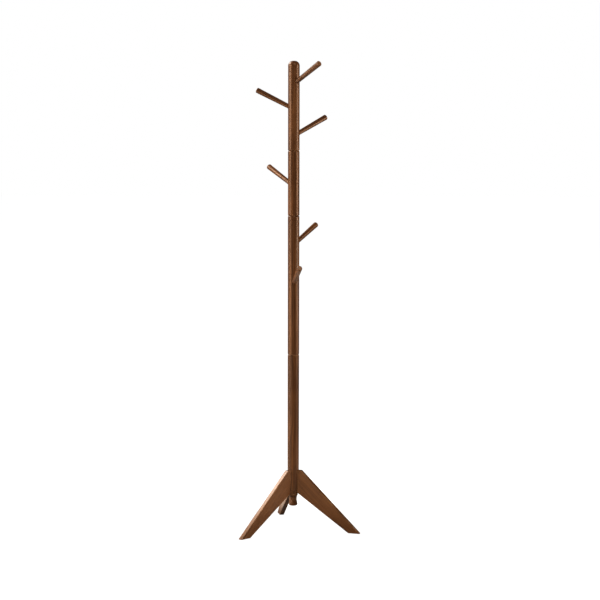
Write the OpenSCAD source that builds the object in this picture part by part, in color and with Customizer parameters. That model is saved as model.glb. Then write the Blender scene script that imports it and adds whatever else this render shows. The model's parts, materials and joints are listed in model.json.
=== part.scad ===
// Standing coat rack: a turned wooden pole in four screwed sections, six screwed pegs,
// and three flat legs on sliding dovetails, clamped from below by a turned knob.
// Millimetres. The origin is on the pole's axis at the floor, +Z is up, and the rear
// leg points along +Y.

/* [Stand] */
// Overall width across the two front toes
stand_w = 482.6; // [420:0.1:600]
// Thickness of each leg
leg_t = 18; // [14:0.5:22]
// Length of the flat under each foot
foot_len = 45.5; // [30:0.5:75]
// Height of the pole's lower end above the floor
pole_foot_z = 150; // [135:1:200]
// Height of a leg's seat on the pole, from the pole's lower end to the leg's flat top
seat_h = 84.5; // [70:0.5:110]
// How far a leg's shoulder hangs below the pole's lower end
leg_drop = 6; // [2:0.5:12]
// Width of the flat on top of each leg, out from its seat on the pole
leg_flat_w = 14; // [8:0.5:25]

/* [Pole] */
// Diameter of the pole
pole_d = 44.5; // [36:0.5:54]
// Length of the lowest section, which holds the legs
base_len = 540; // [300:1:700]
// Length of the second section, which holds the two lowest pegs
lower_len = 540; // [460:1:700]
// Length of the third section, which holds one peg
middle_len = 250; // [160:1:400]
// Length of the top section, which holds three pegs
top_len = 342.45; // [300:0.05:500]
// Radius of the small flat in the middle of the domed top
crown_flat_r = 3.5; // [1:0.5:8]
// Rounding of the section ends where they meet
end_round = 4; // [1:0.25:4]

/* [Pegs] */
// Distance along a peg from the pole's axis to the peg's tip
peg_reach = 167; // [120:1:210]
// Angle of the pegs above the horizontal
peg_tilt = 26; // [15:1:35]
// Diameter of a peg's seated end
peg_base_d = 16.8; // [14:0.2:18]
// Diameter of a peg's outer end
peg_tip_d = 21; // [18:0.2:26]
// Rounding of a peg's outer end
peg_tip_round = 3; // [1:0.25:6]
// Least depth of a peg's socket in the pole, at its lower edge
socket_lip = 3.5; // [2:0.25:5]
// Heights of the top section's pegs above its lower end
top_peg_z = [254.5, 159.5, 57.5]; // [50:0.5:290]
// Directions of the top section's pegs, anticlockwise from +X
top_peg_turn = [-62, 150, 22]; // [-180:1:180]
// Height of the middle section's peg above its lower end
middle_peg_z = 115; // [50:0.5:130]
// Direction of the middle section's peg
middle_peg_turn = 119; // [-180:1:180]
// Heights of the lower section's pegs above its lower end
lower_peg_z = [428, 275.5]; // [50:0.5:440]
// Directions of the lower section's pegs
lower_peg_turn = [42, -93]; // [-180:1:180]

/* [Knob] */
// Thickness of the clamp collar
collar_h = 10; // [5:0.5:12]
// Length of the locking knob
knob_h = 47.5; // [42:0.5:60]
// Diameter of the knob's grip at its widest
knob_grip_d = 34.5; // [28:0.5:40]
// Height of the knob's grip, from its lower end to the neck
knob_grip_h = 21.5; // [18:0.5:22]
// Rounding of the grip's lower edge
knob_grip_round = 6; // [3:0.5:9]
// Height of the knob's upper rim
knob_rim_h = 10; // [7:0.5:12]
// How far the neck is cut in from the knob's rim
knob_neck_in = 4; // [2:0.5:5]

/* [Leg joints] */
// How far a leg's dovetail reaches into the pole from its seat
tongue_depth = 9; // [6:0.5:9.5]
// Width of a dovetail at the leg's seat
tongue_neck_w = 9; // [7:0.5:10]
// Width of a dovetail at its inner face
tongue_wide_w = 13.5; // [10:0.5:14]
// Distance from the top of a dovetail to the leg's flat top
tongue_below = 6; // [3:0.5:12]

/* [Screws] */
// Diameter of the studs that join the pole's sections
pole_stud_d = 10; // [8:1:12]
// Length of a joining stud that is fixed in the section below
pole_stud_fixed = 40; // [25:1:55]
// Length of a joining stud that screws into the section above
pole_stud_free = 24; // [15:1:24]
// Length of the threaded insert in a section's lower end
pole_insert_len = 25; // [25:1:40]
// Wall of the threaded insert in a section's lower end
pole_insert_wall = 2; // [1.5:0.25:4]
// How far the insert's flange stands out from its sleeve
pole_flange_out = 2.5; // [1:0.5:4]
// Thickness of the insert's flange
pole_flange_t = 1.5; // [1:0.25:3]
// Diameter of the knob's stud
knob_stud_d = 8; // [6:1:10]
// Length of the knob's stud that is fixed in the pole
knob_stud_fixed = 40; // [25:1:60]
// Length of the knob's stud inside the knob
knob_stud_free = 20; // [12:1:21]
// Length of the threaded insert in the knob
knob_insert_len = 22; // [22:1:28]
// Diameter of the pegs' studs
peg_stud_d = 6; // [5:1:8]
// Length of a peg's stud that is fixed in the peg
peg_stud_fixed = 25; // [15:1:60]
// Length of a peg's stud that screws into the pole
peg_stud_free = 12; // [6:1:13]
// Length of the threaded insert in the pole behind a peg
peg_insert_len = 14; // [14:1:18]
// Wall of the small threaded inserts for the knob and the pegs
small_insert_wall = 1.75; // [1.25:0.25:2.5]

/* [Clearances] */
// Radial gap round studs and inserts
screw_gap = 0.05; // [0.02:0.01:0.1]
// Gap round a leg's dovetail in its slot
slot_gap = 0.1; // [0.05:0.05:0.3]
// Radial gap round a peg in its socket
socket_gap = 0.35; // [0.3:0.05:0.6]
// Radial gap between the clamp collar and the knob's stud
collar_gap = 0.3; // [0.3:0.05:0.6]
// Gap between the clamp collar and the legs' shoulders
collar_to_leg = 1.5; // [1:0.5:5]
// Depth of a screw hole past the end of its stud
hole_spare = 3; // [1:0.5:5]

/* [Hidden] */
WOOD = [0.40, 0.25, 0.15];
WOOD_DARK = [0.30, 0.17, 0.09];
STEEL = [0.70, 0.71, 0.73];
BRASS = [0.78, 0.64, 0.34];
ROUND = 96;
// how far a cut runs past the face that it opens
PAST = 1;

pole_r = pole_d / 2;
// a leg's seat is a flat on the pole, exactly as wide as the leg
seat_r = sqrt(pole_r * pole_r - leg_t * leg_t / 4);
leg_top_z = pole_foot_z + seat_h;
tongue_h = seat_h - tongue_below;
LEG_TURNS = [-30, 90, 210];
// the toes' outer corners are stand_w apart
front_lean = -LEG_TURNS[0];
toe_r = (stand_w / 2 - leg_t / 2 * sin(front_lean)) / cos(front_lean);

lower_z = pole_foot_z + base_len;
middle_z = lower_z + lower_len;
top_z = middle_z + middle_len;
dome_r = pole_r - crown_flat_r;

pole_insert_r = pole_stud_d / 2 + screw_gap + pole_insert_wall;
knob_insert_r = knob_stud_d / 2 + screw_gap + small_insert_wall;
peg_insert_r = peg_stud_d / 2 + screw_gap + small_insert_wall;

// along a peg's axis, from the pole's axis: the bottom of the peg's socket
peg_seat = (pole_r - socket_lip - peg_base_d / 2 * sin(peg_tilt)) / cos(peg_tilt);

collar_r = seat_r - collar_to_leg;
collar_z = pole_foot_z - collar_h;
knob_z = collar_z - knob_h;
knob_rim_r = collar_r - 0.5;
knob_neck_r = knob_rim_r - knob_neck_in;

// height above the floor and direction of each peg, from the top down
PEGS = [
    [top_z + top_peg_z[0], top_peg_turn[0]],
    [top_z + top_peg_z[1], top_peg_turn[1]],
    [top_z + top_peg_z[2], top_peg_turn[2]],
    [middle_z + middle_peg_z, middle_peg_turn],
    [lower_z + lower_peg_z[0], lower_peg_turn[0]],
    [lower_z + lower_peg_z[1], lower_peg_turn[1]],
];
PEG_NUMBERS = [1:len(PEGS)];
TOP_PEGS = [1, 2, 3];
MIDDLE_PEGS = [4];
LOWER_PEGS = [5, 6];

// ---- shared shapes ----

// a cylinder along +Z between two heights
module rod(r, from, to) {
    translate([0, 0, from]) cylinder(r = r, h = to - from, $fn = ROUND);
}

// what a rounding of radius e takes off the outer corner at (r, z); side is 1 at an
// upper end and -1 at a lower end
module corner_waste(r, z, e, side) {
    difference() {
        translate([r - e, side > 0 ? z - e : z - PAST]) square([e + PAST, e + PAST]);
        translate([r - e, z - side * e]) circle(r = e, $fn = ROUND);
    }
}

// a turned wooden section between two heights, with its two ends' edges rounded
module section(from, to, low_round, high_round) {
    rotate_extrude($fn = ROUND) difference() {
        translate([0, from]) square([pole_r, to - from]);
        corner_waste(pole_r, from, low_round, -1);
        corner_waste(pole_r, to, high_round, 1);
    }
}

// the hole for the fixed end of a joining stud, in a section's upper end
module stud_hole(z) {
    rod(pole_stud_d / 2 + screw_gap, z - pole_stud_fixed, z + PAST);
}

// the stepped hole for a threaded insert, in a section's lower end
module insert_hole(z) {
    rod(pole_insert_r + pole_flange_out + screw_gap, z - PAST, z + pole_flange_t);
    rod(pole_insert_r + screw_gap, z - PAST, z + pole_insert_len);
    rod(pole_stud_d / 2 + screw_gap, z, z + pole_insert_len + hole_spare);
}

// a stud across the joint at height z
module joining_stud(z) {
    color(STEEL) rod(pole_stud_d / 2, z - pole_stud_fixed, z + pole_stud_free);
}

// the flanged threaded insert above the joint at height z
module joining_insert(z) {
    color(BRASS) difference() {
        union() {
            rod(pole_insert_r + pole_flange_out, z, z + pole_flange_t);
            rod(pole_insert_r, z, z + pole_insert_len);
        }
        rod(pole_stud_d / 2 + screw_gap, z - PAST, z + pole_insert_len + PAST);
    }
}

// puts a shape drawn along +Z on peg n's axis, with the pole's axis at 0
module along_peg(n) {
    place = PEGS[n - 1];
    translate([0, 0, place[0]]) rotate([0, 90 - peg_tilt, place[1]]) children();
}

// the socket for peg n, with the hole for its threaded insert behind it
module peg_socket(n) {
    along_peg(n) {
        rod(peg_base_d / 2 + socket_gap, peg_seat, peg_seat + pole_d);
        rod(peg_insert_r + screw_gap, peg_seat - peg_insert_len, peg_seat + PAST);
    }
}

// a leg's dovetail seen from above, larger by gap all round; it reaches out to r
module tongue_outline(gap, r) {
    inner = seat_r - tongue_depth;
    neck = tongue_neck_w / 2 + gap;
    wide = tongue_wide_w / 2 + gap;
    polygon([
        [inner - gap, -wide],
        [seat_r, -neck],
        [r, -neck],
        [r, neck],
        [seat_r, neck],
        [inner - gap, wide],
    ]);
}

// what a leg's seat takes out of the pole: a flat, and the dovetail's slot
module leg_seat(turn) {
    rotate([0, 0, turn]) {
        translate([seat_r, -leg_t / 2 - PAST, pole_foot_z - PAST])
            cube([pole_r, leg_t + 2 * PAST, seat_h + PAST]);
        translate([0, 0, pole_foot_z - PAST])
            linear_extrude(tongue_h + PAST) tongue_outline(slot_gap, pole_r);
    }
}

// a flat leg with its dovetail, pointing along turn
module leg(turn) {
    color(WOOD) rotate([0, 0, turn]) {
        rotate([90, 0, 0]) linear_extrude(leg_t, center = true) polygon([
            [seat_r, pole_foot_z - leg_drop],
            [toe_r - foot_len, 0],
            [toe_r, 0],
            [seat_r + leg_flat_w, leg_top_z],
            [seat_r, leg_top_z],
        ]);
        translate([0, 0, pole_foot_z])
            linear_extrude(tongue_h) tongue_outline(0, seat_r + PAST);
    }
}

// ---- the pole ----

module base_section() {
    color(WOOD) difference() {
        section(pole_foot_z, lower_z, end_round, end_round);
        for (turn = LEG_TURNS) leg_seat(turn);
        rod(knob_stud_d / 2 + screw_gap, pole_foot_z - PAST, pole_foot_z + knob_stud_fixed);
        stud_hole(lower_z);
    }
}

module lower_section() {
    color(WOOD) difference() {
        section(lower_z, middle_z, end_round, end_round);
        insert_hole(lower_z);
        stud_hole(middle_z);
        for (n = LOWER_PEGS) peg_socket(n);
    }
}

module middle_section() {
    color(WOOD) difference() {
        section(middle_z, top_z, end_round, end_round);
        insert_hole(middle_z);
        stud_hole(top_z);
        for (n = MIDDLE_PEGS) peg_socket(n);
    }
}

module top_section() {
    color(WOOD) difference() {
        section(top_z, top_z + top_len, end_round, dome_r);
        insert_hole(top_z);
        for (n = TOP_PEGS) peg_socket(n);
    }
}

// ---- the legs' clamp ----

module clamp_collar() {
    edge = 1.5;
    color(WOOD_DARK) difference() {
        rotate_extrude($fn = ROUND) difference() {
            translate([0, collar_z]) square([collar_r, collar_h]);
            corner_waste(collar_r, pole_foot_z, edge, 1);
            corner_waste(collar_r, collar_z, edge, -1);
        }
        rod(knob_stud_d / 2 + collar_gap, collar_z - PAST, pole_foot_z + PAST);
    }
}

// a rim, a neck and a flared grip, bored for its insert and for the stud's end
module locking_knob() {
    rim_low = collar_z - knob_rim_h;
    edge = 2;
    cove_r = knob_rim_h + 2;
    neck_z = knob_z + knob_grip_h;
    round_r = knob_grip_d / 2 - knob_grip_round;
    round_z = knob_z + knob_grip_round;
    // the grip's side runs from the neck and touches the rounding of its lower edge
    run = [knob_neck_r - round_r, neck_z - round_z];
    touch = atan2(run[1], run[0]) - acos(knob_grip_round / norm(run));
    color(WOOD_DARK) difference() {
        rotate_extrude($fn = ROUND) {
            difference() {
                translate([0, rim_low - cove_r / 2])
                    square([knob_rim_r, collar_z - rim_low + cove_r / 2]);
                corner_waste(knob_rim_r, collar_z, edge, 1);
                translate([knob_neck_r + cove_r, rim_low - cove_r / 2])
                    circle(r = cove_r, $fn = ROUND);
            }
            translate([0, neck_z]) square([knob_neck_r, rim_low - cove_r / 2 - neck_z]);
            polygon([
                [0, knob_z],
                [round_r, knob_z],
                [round_r + knob_grip_round * cos(touch), round_z + knob_grip_round * sin(touch)],
                [knob_neck_r, neck_z],
                [0, neck_z],
            ]);
            translate([round_r, round_z]) circle(r = knob_grip_round, $fn = ROUND);
        }
        rod(knob_insert_r + screw_gap, collar_z - knob_insert_len, collar_z + PAST);
        rod(knob_stud_d / 2 + screw_gap, collar_z - knob_insert_len - hole_spare, collar_z);
    }
}

module knob_stud() {
    color(STEEL) rod(knob_stud_d / 2, collar_z - knob_stud_free, pole_foot_z + knob_stud_fixed);
}

module knob_insert() {
    color(BRASS) difference() {
        rod(knob_insert_r, collar_z - knob_insert_len, collar_z);
        rod(knob_stud_d / 2 + screw_gap, collar_z - knob_insert_len - PAST, collar_z + PAST);
    }
}

// ---- the pegs ----

// peg n, tapering from a rounded outer end to the square end that seats in its socket
module peg(n) {
    body_end = peg_reach - peg_tip_round;
    color(WOOD) along_peg(n) difference() {
        rotate_extrude($fn = ROUND) {
            polygon([
                [0, peg_seat],
                [peg_base_d / 2, peg_seat],
                [peg_tip_d / 2, body_end],
                [peg_tip_d / 2 - peg_tip_round, peg_reach],
                [0, peg_reach],
            ]);
            translate([peg_tip_d / 2 - peg_tip_round, body_end])
                circle(r = peg_tip_round, $fn = ROUND);
        }
        rod(peg_stud_d / 2 + screw_gap, peg_seat - PAST, peg_seat + peg_stud_fixed);
    }
}

module peg_stud(n) {
    color(STEEL) along_peg(n)
        rod(peg_stud_d / 2, peg_seat - peg_stud_free, peg_seat + peg_stud_fixed);
}

module peg_insert(n) {
    color(BRASS) along_peg(n) difference() {
        rod(peg_insert_r, peg_seat - peg_insert_len, peg_seat);
        rod(peg_stud_d / 2 + screw_gap, peg_seat - peg_insert_len - PAST, peg_seat + PAST);
    }
}

base_section();
lower_section();
middle_section();
top_section();
leg(LEG_TURNS[0]);  // right_leg
leg(LEG_TURNS[1]);  // rear_leg
leg(LEG_TURNS[2]);  // left_leg
clamp_collar();
locking_knob();
knob_stud();
knob_insert();
joining_stud(lower_z);  // lower_stud
joining_insert(lower_z);  // lower_insert
joining_stud(middle_z);  // middle_stud
joining_insert(middle_z);  // middle_insert
joining_stud(top_z);  // top_stud
joining_insert(top_z);  // top_insert
for (n = PEG_NUMBERS) {
    peg(n);
    peg_stud(n);
    peg_insert(n);
}
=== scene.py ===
# A standing coat rack: a turned pole in four screwed sections, six turned pegs that screw
# into it, and three flat legs on dovetails, clamped from below by a turned knob.
# Metres, with the pole's axis at the origin, +Z up and the floor at 0.
import json
import math

import bmesh
import bpy
from mathutils import Matrix, Vector

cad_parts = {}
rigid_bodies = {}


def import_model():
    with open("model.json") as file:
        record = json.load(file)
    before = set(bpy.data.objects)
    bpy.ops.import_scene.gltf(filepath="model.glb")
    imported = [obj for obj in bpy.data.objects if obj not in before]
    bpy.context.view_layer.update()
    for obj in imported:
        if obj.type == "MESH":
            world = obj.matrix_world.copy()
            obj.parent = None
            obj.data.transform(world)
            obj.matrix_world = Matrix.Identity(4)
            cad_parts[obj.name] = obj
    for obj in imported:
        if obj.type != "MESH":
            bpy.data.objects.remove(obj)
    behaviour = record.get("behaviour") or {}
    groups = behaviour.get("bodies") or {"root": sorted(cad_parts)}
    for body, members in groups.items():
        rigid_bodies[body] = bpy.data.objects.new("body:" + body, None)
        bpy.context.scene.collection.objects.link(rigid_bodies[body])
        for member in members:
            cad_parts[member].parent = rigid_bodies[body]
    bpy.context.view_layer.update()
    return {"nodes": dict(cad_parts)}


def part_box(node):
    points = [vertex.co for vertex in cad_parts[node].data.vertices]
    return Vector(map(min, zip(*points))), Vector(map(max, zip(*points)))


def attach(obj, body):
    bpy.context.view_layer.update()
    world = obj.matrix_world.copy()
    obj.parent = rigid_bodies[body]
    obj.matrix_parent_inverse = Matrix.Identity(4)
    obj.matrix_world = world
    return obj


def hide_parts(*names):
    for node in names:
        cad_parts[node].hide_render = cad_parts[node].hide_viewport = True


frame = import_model()
solid = frame["nodes"]


# ---------------------------------------------------------------------------------------
# The pole: four lengths of turned hardwood on one axis, each screwed to the next.
# Stained dark walnut and sprayed with satin varnish. The ends are rounded over, and the
# top is a low dome.

class Value:
    """A number or vector that varies over a piece. Sums on it are written plainly."""

    def __init__(self, bench, socket):
        self.bench = bench
        self.socket = socket

    def run(self, operation, other=0.0):
        """One operation on this value, and on another where the operation takes two."""
        return self.bench.node("ShaderNodeMath", {"operation": operation},
                               {0: self, 1: other})

    def __add__(self, other):
        return self.run("ADD", other)

    def __sub__(self, other):
        return self.run("SUBTRACT", other)

    def __rsub__(self, other):
        return self.bench.node("ShaderNodeMath", {"operation": "SUBTRACT"},
                               {0: other, 1: self})

    def __mul__(self, other):
        return self.run("MULTIPLY", other)

    def __truediv__(self, other):
        return self.run("DIVIDE", other)

    __radd__ = __add__


class Bench:
    """A node tree being built."""

    def node(self, kind, settings=None, sockets=None, out=0):
        """Adds a node: its settings first, then the values or links of its sockets."""
        made = self.tree.nodes.new(kind)
        for key, value in (settings or {}).items():
            if key == "stops":
                ramp = made.color_ramp
                while len(ramp.elements) < len(value):
                    ramp.elements.new(0.5)
                for element, (place, colour) in zip(ramp.elements, value):
                    element.position = place
                    element.color = (*colour, 1)
            else:
                setattr(made, key, value)
        for key, value in (sockets or {}).items():
            socket = made.inputs[key]
            if isinstance(value, Value):
                self.tree.links.new(value.socket, socket)
            else:
                socket.default_value = value
        return Value(self, made.outputs[out]) if made.outputs else None

    def blend(self, share, first, second):
        """The first colour where share is 0 and the second where it is 1."""
        return self.node("ShaderNodeMix", {"data_type": "RGBA"},
                         {0: share, 6: first, 7: second}, 2)


class Finish(Bench):
    """One finish, as a material and the nodes that make it."""

    def __init__(self, name):
        self.material = bpy.data.materials.new(name)
        self.material.use_nodes = True
        self.tree = self.material.node_tree
        self.tree.nodes.clear()

    def place(self, start=(0, 0, 0), turn=(0, 0, 0)):
        """Where a point is on the piece, from start, turned so that +Z is the grain."""
        here = self.node("ShaderNodeTexCoord", out="Object")
        return self.node("ShaderNodeMapping", {"vector_type": "TEXTURE"},
                         {"Vector": here, "Location": start, "Rotation": turn})

    def vector(self, operation, a, b=(0, 0, 0), out=0):
        return self.node("ShaderNodeVectorMath", {"operation": operation}, {0: a, 1: b}, out)

    def noise(self, place, per_metre, detail=2.0, seed=0.0, out=0):
        """Soft random variation, with so many features in a metre along X, Y and Z."""
        stretched = self.vector("MULTIPLY_ADD", place, per_metre)
        stretched.socket.node.inputs[2].default_value = (seed, seed * 1.7, seed * 0.6)
        return self.node("ShaderNodeTexNoise", {},
                         {"Vector": stretched, "Scale": 1.0, "Detail": detail,
                          "Roughness": 0.55}, out)

    def rise(self, value, low, high):
        """0 below low, 1 above high, and smooth between them."""
        return self.node("ShaderNodeMapRange", {"interpolation_type": "SMOOTHSTEP"},
                         {"Value": value, "From Min": low, "From Max": high})

    def surface(self, **sockets):
        """Joins a Principled shader with these sockets to the material's output."""
        shader = self.node("ShaderNodeBsdfPrincipled",
                           sockets={k.replace("_", " "): v for k, v in sockets.items()})
        self.node("ShaderNodeOutputMaterial", sockets={"Surface": shader})
        return self.material


# how fine each part of the figure is: features in a metre, along X, Y and the grain
BENDS = (5, 5, 1.3)
STREAKS = (120, 120, 1.7)
FIBRES = (900, 900, 14)
MOTTLING = (16, 16, 7)
PORES = (1500, 1500, 55)
LATHE_MARKS = (0, 0, 1400)
RING_SPACING = 0.0034
RING_BEND = 0.022
RING_STRETCH = 0.02
# how far each part moves the tone, which runs from 0 to 1 through the stain below
STREAK_CONTRAST = 1.15
FIBRE_CONTRAST = 0.42
MOTTLE_CONTRAST = 0.55
LATE_WOOD_DARKER = 0.15
# how strongly the pores and the bare wood show, and how rough the varnish is
PORE_SHOWS = 0.55
RUB_SHOWS = 0.55
VARNISH_ROUGHNESS = 0.40
STAIN = [
    (0.00, (0.018, 0.0055, 0.0020)),
    (0.35, (0.066, 0.0225, 0.0068)),
    (0.62, (0.138, 0.0505, 0.0150)),
    (1.00, (0.300, 0.1250, 0.0450)),
]
BARE_WOOD = (0.42, 0.215, 0.095, 1)
PORE_COLOUR = (0.012, 0.004, 0.002, 1)
SHEEN = (1.0, 0.60, 0.36, 1)


def stained_wood(name, seed, start=(0, 0, 0), turn=(0, 0, 0), heart=(0.035, 0.02),
                 shade=0.0, figure=1.0, worn=None, lathe=True):
    """Stained, varnished hardwood. worn is a function that gives where it is rubbed."""
    wood = Finish(name)
    here = wood.place(start, turn)
    # slow bends carry the growth rings off a true circle
    bend = wood.noise(here, BENDS, 2, seed, "Color")
    bend = wood.vector("SUBTRACT", bend, (0.5, 0.5, 0.5))
    bend = wood.vector("MULTIPLY", bend, (RING_BEND, RING_BEND, 0))
    bent = wood.vector("ADD", here, bend)
    from_heart = wood.vector("SUBTRACT", bent, (heart[0], heart[1], 0))
    from_heart = wood.vector("MULTIPLY", from_heart, (1, 1, RING_STRETCH))
    out_from_heart = wood.vector("LENGTH", from_heart, out="Value")
    ring = (out_from_heart / RING_SPACING).run("FRACT")
    late = wood.rise(ring, 0.30, 0.93) * (1 - wood.rise(ring, 0.94, 1.0))
    streak = wood.noise(bent, STREAKS, 3, seed + 3)
    fibre = wood.noise(bent, FIBRES, 2, seed + 7)
    mottle = wood.noise(here, MOTTLING, 3, seed + 11)
    pores = wood.rise(wood.noise(bent, PORES, 1, seed + 13), 0.60, 0.70)
    tone = 0.50 + shade + (streak - 0.5) * (STREAK_CONTRAST * figure)
    tone = tone + (fibre - 0.5) * FIBRE_CONTRAST + (mottle - 0.5) * MOTTLE_CONTRAST
    tone = tone - late * (LATE_WOOD_DARKER * figure)
    colour = wood.node("ShaderNodeValToRGB", {"stops": STAIN}, {0: tone})
    colour = wood.blend(pores * PORE_SHOWS, colour, PORE_COLOUR)
    rough = VARNISH_ROUGHNESS + (fibre - 0.5) * 0.25 + pores * 0.14 + (mottle - 0.5) * 0.20
    height = fibre * 0.5 - pores * 0.7 + late * 0.2
    if lathe:
        height = height + wood.noise(here, LATHE_MARKS, 1, seed) * 0.25
    if worn is not None:
        rubbed = worn(wood, here) * wood.rise(mottle + fibre * 0.3, 0.52, 0.80)
        colour = wood.blend(rubbed * RUB_SHOWS, colour, BARE_WOOD)
        rough = rough + rubbed * 0.15
    normal = wood.node("ShaderNodeBump", {}, {"Strength": 0.30, "Distance": 0.0002,
                                              "Height": height}, "Normal")
    return wood.surface(Base_Color=colour, Roughness=rough, Normal=normal,
                        Specular_Tint=SHEEN, Coat_Weight=0.06, Coat_Roughness=0.22)


def dress(node, material):
    """Gives a CAD piece its finish."""
    mesh = solid[node].data
    mesh.materials.clear()
    mesh.materials.append(material)


def near_heights(heights, reach):
    """Rubbed where the piece is within reach of one of these heights."""
    def worn(wood, here):
        z = wood.node("ShaderNodeSeparateXYZ", sockets={0: here}, out="Z")
        total = None
        for height in heights:
            away = (z - height).run("ABSOLUTE")
            close = 1 - wood.rise(away, 0.0, reach)
            total = close if total is None else total.run("MAXIMUM", close)
        return total
    return worn


POLE_SECTIONS = ["base_section", "lower_section", "middle_section", "top_section"]
POLE_HEARTS = [(0.034, 0.022), (-0.029, 0.031), (0.026, -0.034), (-0.036, -0.018)]
POLE_SHADES = [-0.09, -0.04, 0.0, -0.02]
POLE_RUB = 0.004
for count, (section, heart, shade) in enumerate(zip(POLE_SECTIONS, POLE_HEARTS, POLE_SHADES)):
    low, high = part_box(section)
    dress(section, stained_wood(section + "_wood", seed=4.3 * count + 1.0, heart=heart,
                                shade=shade,
                                worn=near_heights([low.z, high.z], POLE_RUB)))


# ---------------------------------------------------------------------------------------
# The legs: three flat boards, sawn to a tapering splay, with every edge eased. A dovetail
# on each inner end slides up into the pole's slot. Each is one board with its grain along
# its length, stained and varnished as the pole is.

LEG_NODES = {"right_leg": -30.0, "rear_leg": 90.0, "left_leg": 210.0}
LEG_THICKNESS = 0.018
LEG_EASE = 0.0014
# one for each corner: shoulder, heel, toe, and the outer and inner ends of the top
LEG_ROUNDS = [0.0004, 0.0006, 0.0002, 0.0015, 0.0004]
# an edge is rubbed as far in as this many times its rounding
RUB_REACH = 2.6
POLE_R = 0.02225
LEG_SEAT_R = math.sqrt(POLE_R ** 2 - (LEG_THICKNESS / 2) ** 2)
LEG_SHOULDER_Z = 0.144
LEG_TOP_Z = 0.2345
LEG_TOE_R = 0.27344
LEG_FOOT = 0.0455
LEG_TOP_FLAT = 0.014
TONGUE_DEPTH = 0.009
TONGUE_NECK = 0.0045
TONGUE_WIDE = 0.00675
TONGUE_LOW_Z = 0.150
TONGUE_TOP_Z = 0.2285
TONGUE_INTO_BOARD = 0.001


def eased_outline(corners, rounds, inset, steps=3):
    """A convex outline moved in by inset, with each corner cut to its own small round."""
    count = len(corners)
    moved = []
    for i in range(count):
        before, here, after = corners[i - 1], corners[i], corners[(i + 1) % count]
        a = (here - before).normalized()
        b = (after - here).normalized()
        na, nb = Vector((-a.y, a.x)), Vector((-b.y, b.x))
        # the two sides' inward normals meet at the inset corner
        moved.append(here + (na + nb) * (inset / (1 + na.dot(nb))))
    points = []
    for i in range(count):
        before, here, after = moved[i - 1], moved[i], moved[(i + 1) % count]
        a = (before - here).normalized()
        b = (after - here).normalized()
        half = a.angle(b) / 2
        back = rounds[i] / math.tan(half)
        centre = here + (a + b).normalized() * (rounds[i] / math.sin(half))
        start, end = here + a * back - centre, here + b * back - centre
        sweep = math.pi - 2 * half
        for k in range(steps + 1):
            t = k / steps
            mix = start * math.sin((1 - t) * sweep) + end * math.sin(t * sweep)
            points.append(centre + mix / math.sin(sweep))
    return points


def eased_board(mesh, corners, rounds, half_thick, ease, place):
    """Adds a board cut to an outline in its own plane, its edges rounded by ease."""
    # each layer is how far its outline is moved in, its side and how much it is rubbed
    layers = [(ease * RUB_REACH, half_thick, 0.0)]
    rim_steps = 4
    for k in range(rim_steps + 1):
        a = math.pi / 2 * k / rim_steps
        layers.append((ease * (1 - math.sin(a)), half_thick - ease * (1 - math.cos(a)), 1.0))
    layers.append((0.0, half_thick - ease * RUB_REACH, 0.0))
    layers += [(inset, -side, rub) for inset, side, rub in reversed(layers)]
    rubbed = mesh.verts.layers.float["rubbed"]
    loops = []
    for inset, side, rub in layers:
        ring = []
        for point in eased_outline(corners, rounds, inset):
            vert = mesh.verts.new(place(point.x, side, point.y))
            vert[rubbed] = rub
            ring.append(vert)
        loops.append(ring)
    for first, second in zip(loops, loops[1:]):
        for i in range(len(first)):
            j = (i + 1) % len(first)
            mesh.faces.new((first[i], first[j], second[j], second[i]))
    mesh.faces.new(loops[0])
    mesh.faces.new(loops[-1])


def finished(name, mesh, material, smooth_below=35):
    """Turns a bmesh into an object with its faces outward and its finish on."""
    bmesh.ops.recalc_face_normals(mesh, faces=mesh.faces)
    data = bpy.data.meshes.new(name)
    mesh.to_mesh(data)
    mesh.free()
    data.materials.append(material)
    data.shade_smooth()
    data.set_sharp_from_angle(angle=math.radians(smooth_below))
    piece = bpy.data.objects.new(name, data)
    bpy.context.scene.collection.objects.link(piece)
    return piece


def rubbed_edges(wood, here):
    return wood.node("ShaderNodeAttribute", {"attribute_name": "rubbed"}, out="Fac")


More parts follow.
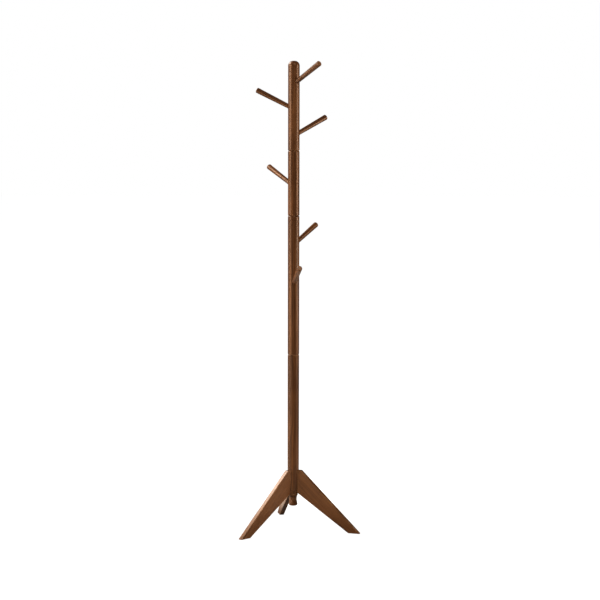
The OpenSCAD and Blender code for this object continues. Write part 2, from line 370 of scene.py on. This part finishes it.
for count, (node, degrees) in enumerate(LEG_NODES.items()):
    turn = math.radians(degrees)
    outward = Vector((math.cos(turn), math.sin(turn), 0))
    sideways = Vector((-math.sin(turn), math.cos(turn), 0))
    up = Vector((0, 0, 1))

    def on_leg(r, side, z):
        return outward * r + sideways * side + up * z

    board = bmesh.new()
    board.verts.layers.float.new("rubbed")
    leg_corners = [
        Vector((LEG_SEAT_R, LEG_SHOULDER_Z)),
        Vector((LEG_TOE_R - LEG_FOOT, 0)),
        Vector((LEG_TOE_R, 0)),
        Vector((LEG_SEAT_R + LEG_TOP_FLAT, LEG_TOP_Z)),
        Vector((LEG_SEAT_R, LEG_TOP_Z)),
    ]
    eased_board(board, leg_corners, LEG_ROUNDS, LEG_THICKNESS / 2, LEG_EASE, on_leg)
    inner = LEG_SEAT_R - TONGUE_DEPTH
    ends = []
    for z in (TONGUE_LOW_Z, TONGUE_TOP_Z):
        ends.append([board.verts.new(on_leg(r, side, z)) for r, side in (
            (inner, -TONGUE_WIDE), (LEG_SEAT_R + TONGUE_INTO_BOARD, -TONGUE_NECK),
            (LEG_SEAT_R + TONGUE_INTO_BOARD, TONGUE_NECK), (inner, TONGUE_WIDE))])
    for i in range(4):
        j = (i + 1) % 4
        board.faces.new((ends[0][i], ends[0][j], ends[1][j], ends[1][i]))
    board.faces.new(ends[0])
    board.faces.new(ends[1])

    # the grain runs from the top of the board to its toe
    slope = (leg_corners[2] - leg_corners[3]).normalized()
    grain = on_leg(slope.x, 0, slope.y)
    across = sideways.cross(grain)
    turned = Matrix((across, sideways, grain)).transposed().to_euler()
    wood = stained_wood(node + "_wood", seed=31.0 + 5.7 * count,
                        start=on_leg(0.05, 0, 0.2), turn=turned,
                        heart=(0.018 - 0.02 * count, -0.042), shade=0.02, figure=0.35,
                        worn=rubbed_edges, lathe=False)
    leg = finished(node + "_board", board, wood)
    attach(leg, "base")
    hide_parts(node)


# ---------------------------------------------------------------------------------------
# The clamp: a turned collar under the pole's end and a turned knob below it, which screws
# up a stud and holds the legs' shoulders. Both are the pole's wood. The stud is bright
# zinc-plated steel, and the knob turns on a knurled brass insert pressed into its bore.

CLAMP_RUB = 0.003
for count, node in enumerate(("clamp_collar", "locking_knob")):
    low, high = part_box(node)
    dress(node, stained_wood(node + "_wood", seed=61.0 + 3.1 * count, shade=-0.02,
                             heart=(0.03, -0.012),
                             worn=near_heights([low.z, high.z], CLAMP_RUB)))


class Recipe(Bench):
    """A Geometry Nodes tree with named sizes, which makes one kind of repeated shape."""

    SOCKETS = {int: "NodeSocketInt", float: "NodeSocketFloat"}

    def __init__(self, name, sizes):
        self.tree = bpy.data.node_groups.new(name, "GeometryNodeTree")
        face = self.tree.interface
        face.new_socket("Shape", in_out="INPUT", socket_type="NodeSocketGeometry")
        self.ids = {}
        for size, kind in sizes.items():
            made = face.new_socket(size, in_out="INPUT", socket_type=self.SOCKETS[kind])
            self.ids[size] = made.identifier
        made = face.new_socket("Finish", in_out="INPUT", socket_type="NodeSocketMaterial")
        self.ids["Finish"] = made.identifier
        face.new_socket("Shape", in_out="OUTPUT", socket_type="NodeSocketGeometry")
        self.given = self.tree.nodes.new("NodeGroupInput")

    def size(self, name):
        return Value(self, self.given.outputs[name])

    def deliver(self, shape):
        """Ends the tree: everything is made real and takes its finish."""
        real = self.node("GeometryNodeRealizeInstances", sockets={0: shape})
        done = self.node("GeometryNodeSetMaterial",
                         sockets={"Geometry": real, "Material": self.size("Finish")})
        self.node("NodeGroupOutput", sockets={0: done})

    def make(self, name, start, place, finish, smooth_below=35, **sizes):
        """Runs the tree on a starting mesh and returns the result as a plain, placed piece."""
        rough_out = bpy.data.objects.new(name + "_blank", start)
        bpy.context.scene.collection.objects.link(rough_out)
        modifier = rough_out.modifiers.new("shape", "NODES")
        modifier.node_group = self.tree
        modifier[self.ids["Finish"]] = finish
        for size, value in sizes.items():
            modifier[self.ids[size.replace("_", " ")]] = value
        graph = bpy.context.evaluated_depsgraph_get()
        data = bpy.data.meshes.new_from_object(rough_out.evaluated_get(graph))
        bpy.data.objects.remove(rough_out)
        shape = bmesh.new()
        shape.from_mesh(data)
        bpy.data.meshes.remove(data)
        shape.transform(place)
        return finished(name, shape, finish, smooth_below)


FULL_TURN = 2 * math.pi


def wave(value):
    """0 to 1 and back to 0 as value goes up by 1."""
    return 1 - (value.run("FRACT") * 2 - 1).run("ABSOLUTE")


# a rod with a machine thread on its upper end and a coarse wood thread on its lower end
threading = Recipe("threading", {
    "Radius": float, "Length": float, "Fixed Length": float, "Pitch": float,
    "Thread Depth": float, "Wood Pitch": float, "Wood Thread Depth": float,
    "Sides": int, "Rows": int})
rod = threading.node("GeometryNodeMeshCylinder", {"fill_type": "NGON"}, {
    "Vertices": threading.size("Sides"), "Side Segments": threading.size("Rows"),
    "Radius": threading.size("Radius"), "Depth": threading.size("Length")})
at = threading.node("GeometryNodeInputPosition")
x, y, z = (threading.node("ShaderNodeSeparateXYZ", sockets={0: at}, out=axis)
           for axis in "XYZ")
radius = threading.size("Radius")
length = threading.size("Length")
up_rod = z + length / 2
turned = y.run("ARCTAN2", x) / FULL_TURN
SHANK = 0.0015
on_free = up_rod.run("GREATER_THAN", threading.size("Fixed Length") + SHANK)
on_fixed = up_rod.run("LESS_THAN", threading.size("Fixed Length") - 2 * SHANK)
# a machine thread's crest is cut flat, and a wood thread is a thin ridge
CREST_CUT = 1.3
crest = (wave(z / threading.size("Pitch") - turned) * CREST_CUT).run("MINIMUM", 1.0)
ridge = wave(z / threading.size("Wood Pitch") - turned)
ridge = ((ridge - 0.5) * 2).run("MAXIMUM", 0.0)
cut = on_free * threading.size("Thread Depth") * (1 - crest)
cut = cut + on_fixed * threading.size("Wood Thread Depth") * (1 - ridge)
left = radius - cut
# the free end is chamfered, and the fixed end comes to a blunt point
TIP_CHAMFER = 0.0009
POINT_WIDTH = 0.35
POINT_SLOPE = 0.8
left = left.run("MINIMUM", radius - TIP_CHAMFER + (length - up_rod))
left = left.run("MINIMUM", radius * POINT_WIDTH + up_rod * POINT_SLOPE)
share = left / radius
moved = threading.node("ShaderNodeCombineXYZ", sockets={
    "X": x * share, "Y": y * share, "Z": z})
threading.deliver(threading.node("GeometryNodeSetPosition", sockets={
    "Geometry": rod, "Position": moved}))

# the starting mesh is half an outline, as (radius, 0, height) from end to end, and it is
# turned round the axis; rows at the knurls' radius get knurls
turning = Recipe("turning", {"Sides": int, "Knurls": int, "Knurl Radius": float,
                             "Knurl Depth": float})
outline = Value(turning, turning.given.outputs["Shape"])
rows = turning.node("GeometryNodeAttributeDomainSize", sockets={"Geometry": outline},
                    out="Point Count")
sheet = turning.node("GeometryNodeMeshGrid", sockets={
    "Vertices X": turning.size("Sides") + 1, "Vertices Y": rows})
number = turning.node("GeometryNodeInputIndex")
row = number.run("MODULO", rows)
WHOLE_COLUMN_ROOM = 0.0001
column = (number / rows + WHOLE_COLUMN_ROOM).run("FLOOR")
point = turning.node("GeometryNodeSampleIndex", {"data_type": "FLOAT_VECTOR"}, {
    "Geometry": outline, "Value": turning.node("GeometryNodeInputPosition"), "Index": row})
out_r = turning.node("ShaderNodeSeparateXYZ", sockets={0: point}, out="X")
height = turning.node("ShaderNodeSeparateXYZ", sockets={0: point}, out="Z")
around = column / turning.size("Sides")
off = out_r - turning.size("Knurl Radius")
SAME_RADIUS = 0.00002
on_knurl = off.run("ABSOLUTE").run("LESS_THAN", SAME_RADIUS)
knurl = wave(around * turning.size("Knurls"))
out_r = out_r - on_knurl * turning.size("Knurl Depth") * knurl
angle = around * FULL_TURN
moved = turning.node("ShaderNodeCombineXYZ", sockets={
    "X": out_r * angle.run("COSINE"), "Y": out_r * angle.run("SINE"),
    "Z": height})
sheet = turning.node("GeometryNodeSetPosition", sockets={"Geometry": sheet, "Position": moved})
WELD = 0.000002
turning.deliver(turning.node("GeometryNodeMergeByDistance", sockets={
    "Geometry": sheet, "Distance": WELD}))


def half_outline(points):
    """A chain of vertices, as (radius, height) from one end of the outline to the other."""
    data = bpy.data.meshes.new("outline")
    count = len(points)
    data.from_pydata([(r, 0, z) for r, z in points],
                     [(i, i + 1) for i in range(count - 1)], [])
    return data


def metal(name, bright, dull, seed, rough):
    """Plated or turned metal: a little clouded, with fine marks all over."""
    plate = Finish(name)
    here = plate.place()
    cloud = plate.noise(here, (160, 160, 160), 3, seed)
    fine = plate.noise(here, (2500, 2500, 2500), 1, seed + 2)
    colour = plate.blend(plate.rise(cloud, 0.35, 0.70), bright, dull)
    normal = plate.node("ShaderNodeBump", {}, {"Strength": 0.15, "Distance": 0.00005,
                                               "Height": fine}, "Normal")
    return plate.surface(Base_Color=colour, Metallic=1.0, Normal=normal,
                         Roughness=rough + (cloud - 0.5) * 0.25 + (fine - 0.5) * 0.08)


zinc = metal("zinc_plate", (0.72, 0.73, 0.75, 1), (0.56, 0.57, 0.58, 1), 3.0, 0.30)
brass = metal("turned_brass", (0.80, 0.60, 0.27, 1), (0.60, 0.42, 0.17, 1), 8.0, 0.34)
FLIP = Matrix.Rotation(math.pi, 4, "X")
BLANK = bpy.data.meshes.new("blank")
# a thread's depth and the wood thread's pitch are shares of the pitch, and the wood
# thread's depth is a share of the radius
THREAD_DEPTH = 0.6
WOOD_PITCH = 2.2
WOOD_THREAD_DEPTH = 0.22
ROWS_PER_PITCH = 8
STUD_SHORT = 0.0001
INSERT_EASE = 0.0003
KNURL_DEPTH = 0.0004


def stud(name, node, body, place, radius, length, fixed, pitch):
    """A stud: machine thread on the end that is free, wood thread on the end that isn't."""
    # the fixed end stops just short of the bottom of its hole
    place = place @ Matrix.Translation((0, 0, STUD_SHORT / 2))
    length -= STUD_SHORT
    fixed -= STUD_SHORT
    rod = threading.make(
        name, BLANK.copy(), place, zinc, Radius=radius, Length=length, Fixed_Length=fixed,
        Pitch=pitch, Thread_Depth=THREAD_DEPTH * pitch, Wood_Pitch=WOOD_PITCH * pitch,
        Wood_Thread_Depth=WOOD_THREAD_DEPTH * radius, Sides=24,
        Rows=int(ROWS_PER_PITCH * length / pitch))
    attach(rod, body)
    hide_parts(node)


def insert(name, node, body, place, bore, sleeve, length, flange=0.0, flange_thick=0.0):
    """A threaded insert: a knurled sleeve, flanged at its lower end if flange is given."""
    ease = INSERT_EASE
    points = [(bore + ease, 0.0)]
    if flange:
        points += [(flange - ease, 0.0), (flange, ease), (flange, flange_thick - ease),
                   (flange - ease, flange_thick), (sleeve - ease, flange_thick)]
    else:
        points += [(sleeve - 2 * ease, 0.0)]
    rise = flange_thick + 3 * ease
    points += [(sleeve - ease, rise), (sleeve, rise + ease), (sleeve, length - 4 * ease),
               (sleeve - ease, length - 3 * ease), (sleeve - ease, length - ease),
               (sleeve - 2 * ease, length), (bore + ease, length), (bore, length - ease),
               (bore, ease), (bore + ease, 0.0)]
    ring = turning.make(name, half_outline(points), place, brass, Sides=96, Knurls=32,
                        Knurl_Radius=sleeve, Knurl_Depth=KNURL_DEPTH)
    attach(ring, body)
    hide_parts(node)


COLLAR_LOW_Z = 0.140
KNOB_STUD_R = 0.004
KNOB_STUD_TOP_Z = 0.190
KNOB_STUD_LENGTH = 0.070
KNOB_STUD_FIXED = 0.040
KNOB_PITCH = 0.00125
KNOB_INSERT_R = 0.0058
KNOB_INSERT_LENGTH = 0.022
THREAD_ROOM = 0.00005
stud("knob_stud_threaded", "knob_stud", "base",
     Matrix.Translation((0, 0, KNOB_STUD_TOP_Z - KNOB_STUD_LENGTH / 2)) @ FLIP,
     KNOB_STUD_R, KNOB_STUD_LENGTH, KNOB_STUD_FIXED, KNOB_PITCH)
insert("knob_insert_sleeve", "knob_insert", "knob",
       Matrix.Translation((0, 0, COLLAR_LOW_Z)) @ FLIP,
       KNOB_STUD_R + THREAD_ROOM, KNOB_INSERT_R, KNOB_INSERT_LENGTH)


# ---------------------------------------------------------------------------------------
# The pole's joints: a steel stud stands in the top of each section, and the section above
# screws down on it by a flanged brass insert let into its lower end.

JOINT_STUD_R = 0.005
JOINT_STUD_FIXED = 0.040
JOINT_STUD_LENGTH = 0.064
JOINT_PITCH = 0.0015
JOINT_SLEEVE_R = 0.00705
JOINT_FLANGE_R = 0.00955
JOINT_FLANGE_THICK = 0.0015
JOINT_INSERT_LENGTH = 0.025
for upper, lower_body in (("lower", "base"), ("middle", "lower"), ("top", "middle")):
    joint_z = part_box(upper + "_section")[0].z
    stud(upper + "_stud_threaded", upper + "_stud", lower_body,
         Matrix.Translation((0, 0, joint_z - JOINT_STUD_FIXED + JOINT_STUD_LENGTH / 2)),
         JOINT_STUD_R, JOINT_STUD_LENGTH, JOINT_STUD_FIXED, JOINT_PITCH)
    insert(upper + "_insert_sleeve", upper + "_insert", upper + "_lift",
           Matrix.Translation((0, 0, joint_z)), JOINT_STUD_R + THREAD_ROOM,
           JOINT_SLEEVE_R, JOINT_INSERT_LENGTH, JOINT_FLANGE_R, JOINT_FLANGE_THICK)


# ---------------------------------------------------------------------------------------
# The pegs: six turned pegs that slope up and out, a little thicker towards their rounded
# ends. Each has a steel stud glued in its seated end, which screws into a brass insert at
# the bottom of a socket bored in the pole.

PEG_TILT = math.radians(26)
PEG_REACH = 0.167
PEG_SEAT = 0.0167678
PEG_BASE_R = 0.0084
PEG_TIP_R = 0.0105
PEG_TIP_ROUND = 0.003
PEG_SEAT_CHAMFER = 0.0005
PEG_STUD_R = 0.003
PEG_STUD_FIXED = 0.025
PEG_STUD_LENGTH = 0.037
PEG_PITCH = 0.001
PEG_INSERT_R = 0.0048
PEG_INSERT_LENGTH = 0.014
PEG_END_RING_R = 0.004
PEG_RUB = 0.0045
TAPER_STEPS = 24
ROUND_STEPS = 10
# for each peg: the height where its axis meets the pole's, the way it points in degrees,
# the section that carries it, and how much lighter its tone is: set peg by peg to how bright
# each looks in its light, so painted light and shade on top of the wood's own tone
PEGS = [
    (1.7345, -62, "top", -0.08),
    (1.6395, 150, "top", -0.10),
    (1.5375, 22, "top", -0.04),
    (1.3450, 119, "middle", 0.02),
    (1.1180, 42, "lower", -0.04),
    (0.9655, -93, "lower", 0.06),
]
for count, (height, degrees, carrier, shade) in enumerate(PEGS):
    number = str(count + 1)
    out = Matrix.Rotation(math.radians(degrees), 4, "Z") @ Matrix.Rotation(
        math.pi / 2 - PEG_TILT, 4, "Y")
    along = Matrix.Translation((0, 0, height)) @ out
    bore = PEG_STUD_R + THREAD_ROOM
    points = [(0, PEG_SEAT + PEG_STUD_FIXED), (bore, PEG_SEAT + PEG_STUD_FIXED),
              (bore, PEG_SEAT), (PEG_BASE_R - PEG_SEAT_CHAMFER, PEG_SEAT)]
    body_end = PEG_REACH - PEG_TIP_ROUND
    start = PEG_SEAT + PEG_SEAT_CHAMFER
    for step in range(TAPER_STEPS + 1):
        share = step / TAPER_STEPS
        points.append((PEG_BASE_R + (PEG_TIP_R - PEG_BASE_R) * share,
                       start + (body_end - start) * share))
    for step in range(1, ROUND_STEPS + 1):
        a = math.pi / 2 * step / ROUND_STEPS
        points.append((PEG_TIP_R - PEG_TIP_ROUND * (1 - math.cos(a)),
                       body_end + PEG_TIP_ROUND * math.sin(a)))
    points += [(PEG_END_RING_R, PEG_REACH), (0, PEG_REACH)]
    # the peg's shade lightens or darkens its wood to the light it stands in: painted light and
    # shade
    wood = stained_wood("peg_" + number + "_wood", seed=80.0 + 6.3 * count,
                        start=(0, 0, height), turn=out.to_euler(),
                        heart=(0.022 - 0.006 * count, -0.018 + 0.007 * count),
                        shade=shade, worn=near_heights([PEG_REACH], PEG_RUB))
    # no row is at the knurls' radius, so a peg stays plain
    peg = turning.make("peg_" + number + "_turned", half_outline(points), along, wood,
                       Sides=64, Knurls=1, Knurl_Radius=1.0, Knurl_Depth=0.0)
    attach(peg, "peg_" + number)
    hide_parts("peg_" + number)
    stud("peg_stud_" + number + "_threaded", "peg_stud_" + number,
         "peg_" + number + "_travel",
         along @ Matrix.Translation((0, 0, PEG_SEAT + PEG_STUD_FIXED - PEG_STUD_LENGTH / 2))
         @ FLIP, PEG_STUD_R, PEG_STUD_LENGTH, PEG_STUD_FIXED, PEG_PITCH)
    insert("peg_insert_" + number + "_sleeve", "peg_insert_" + number, carrier,
           along @ Matrix.Translation((0, 0, PEG_SEAT)) @ FLIP,
           bore, PEG_INSERT_R, PEG_INSERT_LENGTH)


# ---------------------------------------------------------------------------------------
# The stage: the camera stands a little left of the rack's front, a metre and a half up.
# The floor and what is beyond it are plain and pale to the camera, and soft lights stand
# round the rack, most of them to the camera's left. In reflections the floor shows a painted
# ring of glow.

CAMERA_TURN = math.radians(-101.8)
CAMERA_AWAY = 6.001
CAMERA_UP = 1.50216
CAMERA_ROLL = math.radians(0.10)
CAMERA_SHIFT = 6.49 / 600
AIM_UP = 0.90338
camera_data = bpy.data.cameras.new("camera")
camera_data.sensor_width = 36
camera_data.lens = 93.213
camera_data.shift_x = CAMERA_SHIFT
camera_data.clip_end = 200
camera = bpy.data.objects.new("camera", camera_data)
bpy.context.scene.collection.objects.link(camera)
camera.location = (CAMERA_AWAY * math.cos(CAMERA_TURN),
                   CAMERA_AWAY * math.sin(CAMERA_TURN), CAMERA_UP)
looking = Vector((0, 0, AIM_UP)) - camera.location
camera.rotation_euler = (looking.to_track_quat("-Z", "Y").to_matrix()
                         @ Matrix.Rotation(CAMERA_ROLL, 3, "Z")).to_euler()
bpy.context.scene.camera = camera


def grey(value):
    return (value, value, value, 1)


FLOOR_R = 40.0
FLOOR_Z = -0.0003
# distances from the rack between which the floor fades to white for the camera, and between
# which the ring of painted glow, seen only in reflections, comes up and goes down
WHITE_FROM, WHITE_BY = 0.2, 0.9
RING_FROM, RING_FULL = 0.30, 0.42
RING_FADES, RING_GONE = 0.7, 1.3
RING_GLOW = (1.20, 0.95, 0.70, 1)
floor_mesh = bmesh.new()
bmesh.ops.create_circle(floor_mesh, cap_ends=True, radius=FLOOR_R, segments=96)
floor_finish = Finish("floor_paint")
out = floor_finish.vector("LENGTH", floor_finish.place(), out="Value")
# for the camera the floor glows near white, a little dimmer close to the rack: a faint painted
# shade round its foot
far = floor_finish.rise(out, WHITE_FROM, WHITE_BY)
to_camera = floor_finish.blend(far, grey(0.95), grey(1.0))
# in reflections off the pieces the floor glows as a painted ring of warm light round the
# rack, and is dark inside and outside the ring; the dark paint close under the rack is
# painted shade that keeps bounced light off the pieces' undersides
ring = floor_finish.rise(out, RING_FROM, RING_FULL)
ring = ring * (1 - floor_finish.rise(out, RING_FADES, RING_GONE))
painted_reflection_glow = floor_finish.blend(ring, grey(0.02), RING_GLOW)
reflected = floor_finish.node("ShaderNodeLightPath", out="Is Glossy Ray")
direct = floor_finish.node("ShaderNodeLightPath", out="Is Camera Ray")
glow = floor_finish.blend(reflected, grey(0.04), painted_reflection_glow)
glow = floor_finish.blend(direct, glow, to_camera)
# the floor's colour is light only in the ring and dark under the rack: painted shade on the
# pieces' undersides
paint = floor_finish.blend(ring, grey(0.12), grey(0.40))
floor = finished("floor", floor_mesh, floor_finish.surface(
    Base_Color=paint, Roughness=0.6, Specular_IOR_Level=0.2,
    Emission_Color=glow, Emission_Strength=1.0))
floor.location.z = FLOOR_Z

# beyond the floor the camera sees white, and the pieces are barely lit from there
world = bpy.data.worlds.new("studio")
bpy.context.scene.world = world
world.use_nodes = True
studio = Bench()
studio.tree = world.node_tree
direct = studio.node("ShaderNodeLightPath", out="Is Camera Ray")
beyond = studio.blend(direct, grey(0.018), grey(1.0))
studio.tree.links.new(beyond.socket, studio.tree.nodes["Background"].inputs["Color"])

WARM = (1.0, 0.90, 0.79)
PALE = (1.0, 0.96, 0.89)


def softbox(name, to_left, height, away, wide, tall, power, aim=0.95, colour=WARM):
    """A soft light so many degrees to the left of the camera, seen from the rack."""
    data = bpy.data.lights.new(name, "AREA")
    data.shape = "RECTANGLE"
    data.size = wide
    data.size_y = tall
    data.energy = power
    data.color = colour
    lamp = bpy.data.objects.new(name, data)
    bpy.context.scene.collection.objects.link(lamp)
    turn = CAMERA_TURN - math.radians(to_left)
    lamp.location = (away * math.cos(turn), away * math.sin(turn), height)
    facing = Vector((0, 0, aim)) - lamp.location
    lamp.rotation_euler = facing.to_track_quat("-Z", "Y").to_euler()
    return lamp


softbox("key_strip", to_left=75, height=1.25, away=2.6, wide=0.45, tall=2.6, power=54)
softbox("high_left", to_left=86, height=2.5, away=2.6, wide=0.5, tall=1.2, power=58,
        aim=1.35)
softbox("right_strip", to_left=-82, height=1.4, away=2.8, wide=0.5, tall=2.0, power=64)
softbox("back_left", to_left=125, height=10.2, away=11.8, wide=5.4, tall=4.0, power=2150,
        aim=0.1, colour=PALE)
softbox("high_front", to_left=-15, height=4.4, away=3.2, wide=1.4, tall=1.4, power=80,
        aim=0.9)
softbox("low_front", to_left=38, height=0.4, away=2.4, wide=1.2, tall=0.8, power=6,
        aim=0.1)
front_fill = softbox("front_fill", to_left=0, height=1.6, away=5.0, wide=3.0, tall=2.0,
                     power=30, aim=0.6)
front_fill.visible_glossy = False
bpy.context.scene.view_settings.view_transform = "Standard"
